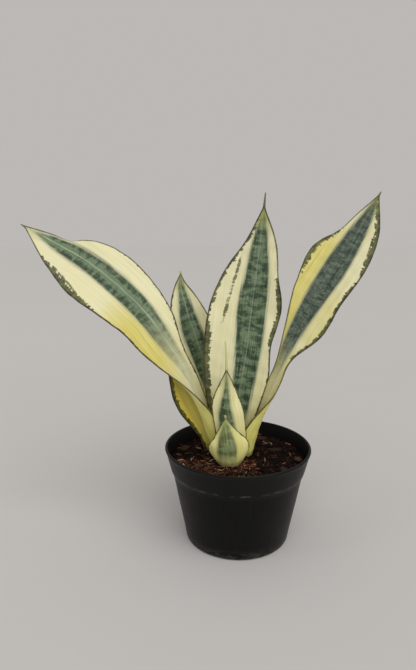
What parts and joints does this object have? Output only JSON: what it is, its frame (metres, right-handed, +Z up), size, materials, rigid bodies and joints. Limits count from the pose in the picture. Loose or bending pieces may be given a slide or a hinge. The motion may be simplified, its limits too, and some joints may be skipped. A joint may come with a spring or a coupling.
{
  "type": "potted snake plant",
  "caption": "Variegated snake plant with broad upright channelled leaves, growing in potting mix in a round tapered black plastic nursery pot.",
  "frame": {"origin": "centre of the pot's underside, on the surface it stands on", "axes": "+Z up along the pot's axis; -Y towards the front of the plant, where the two smallest leaves stand; +X to the right seen from the front"},
  "size_m": [0.3299, 0.13, 0.3092],
  "materials": {
    "pot_plastic": "satin black moulded plastic, lightly scuffed",
    "potting_mix": "dark brown fibrous coir mix, crumbly and matt",
    "rhizome": "pale fleshy underground stem and roots",
    "leaf": "waxy succulent leaf, grey-green centre stripe and cream-yellow margins with a thin brown edge",
    "husk": "dry fibrous coconut husk"
  },
  "bodies": {
    "root": {"pot": "pot_plastic", "potting_mix": "potting_mix", "rhizome_and_roots": "rhizome", "leaf_left": "leaf", "leaf_back": "leaf", "leaf_centre": "leaf", "leaf_right": "leaf", "leaf_left_low": "leaf", "leaf_front": "leaf", "leaf_front_small": "leaf", "husk_chip_01": "husk", "husk_chip_02": "husk", "husk_chip_03": "husk", "husk_chip_04": "husk", "husk_chip_05": "husk", "husk_chip_06": "husk", "husk_chip_07": "husk", "husk_chip_08": "husk", "husk_chip_09": "husk", "husk_chip_10": "husk"}
  },
  "joints": []
}
